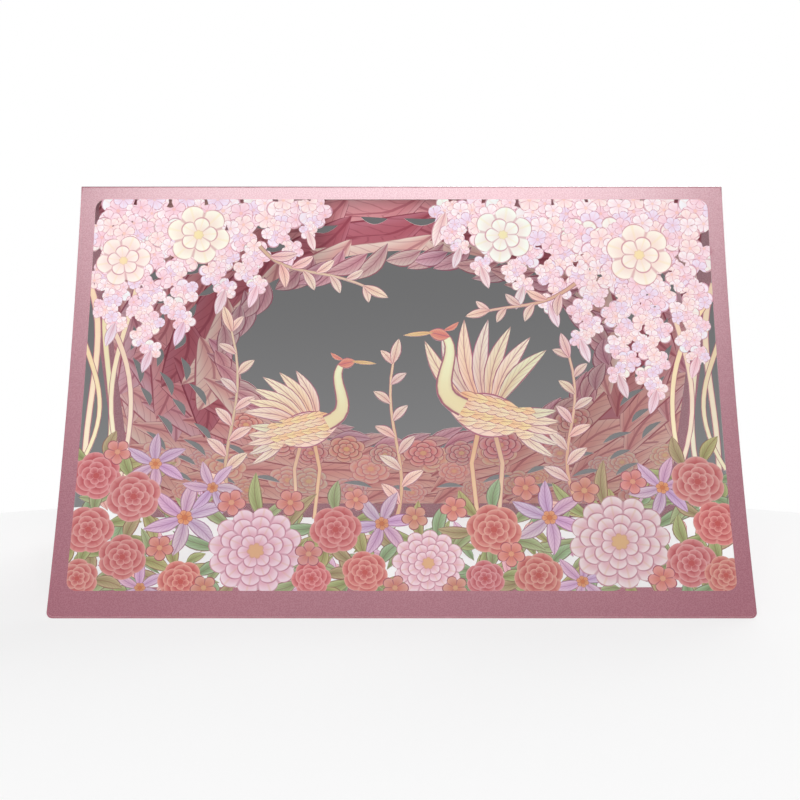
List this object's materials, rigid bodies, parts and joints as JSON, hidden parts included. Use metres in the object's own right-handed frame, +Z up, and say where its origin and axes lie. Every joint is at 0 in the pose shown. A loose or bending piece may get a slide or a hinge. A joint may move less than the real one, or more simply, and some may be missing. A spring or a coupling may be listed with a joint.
{
  "type": "pop up card",
  "caption": "Tent-folded greeting card with a laser-cut printed panel of cranes, flowers and hanging blossoms in front and a wreath panel behind.",
  "frame": {"origin": "middle of the footprint, on the surface that the feet stand on", "axes": "+Z up, the fold along X, the front leaf towards -Y"},
  "size_m": [0.21, 0.152, 0.1257],
  "materials": {
    "cover": "pearl sheen",
    "front_panel": "printed, pearl sheen",
    "back_panel": "printed, pearl sheen"
  },
  "bodies": {
    "root": {"cover": "cover", "front_panel": "front_panel", "back_panel": "back_panel"}
  },
  "joints": []
}
